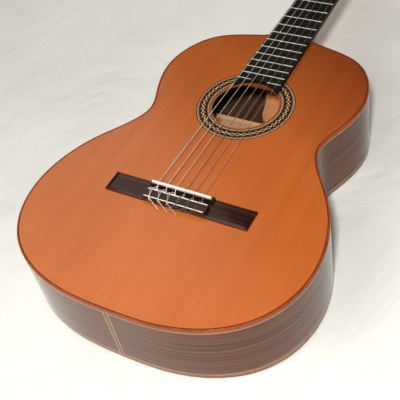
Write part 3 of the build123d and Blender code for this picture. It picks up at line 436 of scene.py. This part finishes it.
def curve_through(points, step):
    """Points along a smooth curve through the given ones, about step apart."""
    padded = [points[0], *points, points[-1]]
    made = []
    for a, b, c, d in zip(padded, padded[1:], padded[2:], padded[3:]):
        count = max(2, round((c - b).length / step))
        for index in range(count):
            t = index / count
            square = (2 * a - 5 * b + 4 * c - d) * t ** 2
            cube = (3 * b - a - 3 * c + d) * t ** 3
            made.append(0.5 * (2 * b + (c - a) * t + square + cube))
    return made + [points[-1]]


def straight(start, end, step):
    count = max(2, round((end - start).length / step))
    return [start.lerp(end, index / count) for index in range(count)]


def tube(name, path, radius, groove):
    """A round tube along a path, with every second ring drawn in by the groove."""
    vertices = []
    faces = []
    normal = None
    for index, point in enumerate(path):
        ahead = path[min(index + 1, len(path) - 1)]
        behind = path[max(index - 1, 0)]
        forward = (ahead - behind).normalized()
        if normal is None:
            normal = forward.orthogonal().normalized()
        normal = (normal - forward * normal.dot(forward)).normalized()
        side = forward.cross(normal)
        reach = radius - groove * (index % 2)
        for corner in range(TUBE_SIDES):
            angle = tau * corner / TUBE_SIDES
            vertices.append(point + (normal * cos(angle) + side * sin(angle)) * reach)
    for ring in range(len(path) - 1):
        for corner in range(TUBE_SIDES):
            after = (corner + 1) % TUBE_SIDES
            low = ring * TUBE_SIDES
            faces.append((low + corner, low + after, low + TUBE_SIDES + after, low + TUBE_SIDES + corner))
    faces.append(tuple(reversed(range(TUBE_SIDES))))
    faces.append(tuple(range(len(vertices) - TUBE_SIDES, len(vertices))))
    mesh = bpy.data.meshes.new(name)
    mesh.from_pydata(vertices, [], faces)
    mesh.validate()
    for face in mesh.polygons:
        face.use_smooth = len(face.vertices) == 4
    piece = bpy.data.objects.new(name, mesh)
    bpy.context.scene.collection.objects.link(piece)
    return piece


def make_string(number, material):
    """One string from its roller over nut and saddle to its tie, in place of the plain one."""
    radius = STRING_RADII[number - 1] * MM
    wound = number >= WOUND_FROM
    roller_low, roller_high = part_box(f"roller_{number}")
    axle = (roller_low + roller_high) / 2
    coil_r = (roller_high.z - roller_low.z) / 2 + COIL_GAP + radius
    place = (3.5 - number) / 5                  # 0.5 for the first string, -0.5 for the sixth
    at_nut = Vector((place * NUT_SPREAD, NUT_Y, TOP)) + NUT_REST
    at_saddle = Vector((place * SADDLE_SPREAD, SADDLE_Y, TOP)) + SADDLE_REST
    lean = asin((at_nut.z - axle.z - coil_r) / (axle.y - at_nut.y))
    coil_width = (-1 if wound else 1) * COIL_PITCH * radius * WIND_TURNS
    path = []
    steps = COIL_STEPS * WIND_TURNS
    for index in range(steps + 1):
        angle = lean + tau * (steps - index) / COIL_STEPS
        across = COIL_X[number - 1] * MM + coil_width * (0.5 - index / steps)
        path.append(Vector((across, axle.y + coil_r * sin(angle), axle.z + coil_r * cos(angle))))
    knot = [at_saddle + Vector((0, 3, -0.14)) * MM, at_saddle]
    for aside, behind, above in TIE_BASS if wound else TIE_TREBLE:
        tie = Vector((at_saddle.x, SADDLE_Y, TOP)) + Vector((aside, -behind, above)) * MM
        knot.append(tie)
    step = WINDING_PITCH / 2 if wound else PLAIN_STEP
    long_step = step if wound else PLAIN_LONG_STEP
    path += straight(path[-1], at_nut, long_step)[1:]
    path += straight(at_nut, knot[0], long_step)
    path += curve_through(knot, step)
    piece = tube(f"tied_string_{number}", path, radius, GROOVE * radius if wound else 0.0)
    piece.data.materials.append(material)
    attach(piece, "root")
    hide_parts(f"string_{number}")


# ---- Putting it together -----------------------------------------------------------------
FLOOR_HALF = 6.0
FLOOR_GAP = 0.2 * MM        # between the back and the floor


def dress(material, *names):
    """Gives CAD nodes a material in place of the one that they were packed with."""
    for name in names:
        data = nodes[name].data
        data.materials.clear()
        data.materials.append(material)


def make_floor():
    mesh = bpy.data.meshes.new("floor")
    height = FLOOR_Z - FLOOR_GAP
    signs = ((-1, -1), (1, -1), (1, 1), (-1, 1))
    mesh.from_pydata([(x * FLOOR_HALF, y * FLOOR_HALF, height) for x, y in signs], [], [(0, 1, 2, 3)])
    floor = bpy.data.objects.new("floor", mesh)
    bpy.context.scene.collection.objects.link(floor)
    made = Surface("pale_sheet", Roughness=0.9)
    cloud = made.noise((5.0, 3.0, 5.0), 4)
    made.colour(made.ramp(cloud, ((0.3, (0.80, 0.805, 0.785)), (0.7, (0.87, 0.875, 0.855)))))
    made.bump(made.noise((6, 3.5, 6), 5, distortion=0.6), 0.045, 0.38)
    mesh.materials.append(made.material)


place_camera()
light_studio()
make_floor()

numbers = range(1, 7)
binding = plain_wood("binding_wood", (0.25, 0.050, 0.010), (0.42, 0.100, 0.020), "Y", 0.7, 500)
back_edge = plain_wood("back_binding_wood", (0.20, 0.085, 0.045), (0.33, 0.150, 0.085), "Y", 0.9,
                       500)
maple = plain_wood("pale_line", (0.50, 0.34, 0.20), (0.68, 0.50, 0.33), "Y", 0.9, 500)
# The neck wood inside the body is paler: partly bare wood, partly painted light on the foot seen through
# the hole.
mahogany = plain_wood("neck_wood", (0.36, 0.155, 0.075), (0.52, 0.235, 0.120), "Y", 0.55, 900,
                      bare_and_lit=(0.86, 0.40, 0.19))
strap_wood = plain_wood("strap_wood", (0.20, 0.07, 0.03), (0.32, 0.12, 0.05), "X")
spruce = plain_wood("spruce", (0.90, 0.52, 0.28), (0.96, 0.64, 0.40), "X", 0.0, 700)
sides = rosewood("rosewood_sides", "Z", (0.050, 0.016, 0.007), (0.300, 0.100, 0.036))
back = rosewood("rosewood_back", "X", (0.045, 0.023, 0.015), (0.290, 0.160, 0.100))
graft = rosewood("graft_wood", "X", (0.05, 0.016, 0.008), (0.22, 0.09, 0.045))
bridge = rosewood("bridge_rosewood", "Y", (0.012, 0.004, 0.003), (0.085, 0.024, 0.013), 0.51)
nickel = metal("fret_nickel", (0.66, 0.64, 0.58), (0.80, 0.78, 0.72))
brass = metal("brass", (0.70, 0.50, 0.20), (0.86, 0.68, 0.34))
steel = metal("steel", (0.55, 0.55, 0.55), (0.72, 0.72, 0.72))
silver = metal("wound_silver", (0.70, 0.69, 0.66), (0.86, 0.85, 0.82), (0.36, 0.5), metallic=0.5)
clear = nylon()

dress(cedar(), "soundboard")
dress(rosette_material(), "rosette")
dress(sides, "side_bass", "side_treble")
dress(back, "back_halves", "headstock_veneer")
dress(graft, "tail_graft")
dress(bridge, "bridge")
dress(binding, "top_binding", "heel_cap")
dress(back_edge, "back_binding")
dress(maple, "side_purfling", "back_center_inlay")
dress(ebony(), "fretboard", "top_purfling")
dress(mahogany, "neck", "headstock", "tail_block")
dress(strap_wood, "hole_strap")
dress(spruce, "back_braces", "back_center_strip", "soundboard_braces", "linings")
dress(bone(), "saddle", "nut", "tie_block_bone", *[f"roller_{n}" for n in numbers])
dress(nickel, "frets")
dress(brass, "tuner_plate_bass", "tuner_plate_treble", *[f"gear_{n}" for n in numbers])
dress(steel, "plate_screws", *[f"worm_{n}" for n in numbers])
dress(pearl(), *[f"button_{n}" for n in numbers])
for number in numbers:
    make_string(number, silver if number >= WOUND_FROM else clear)
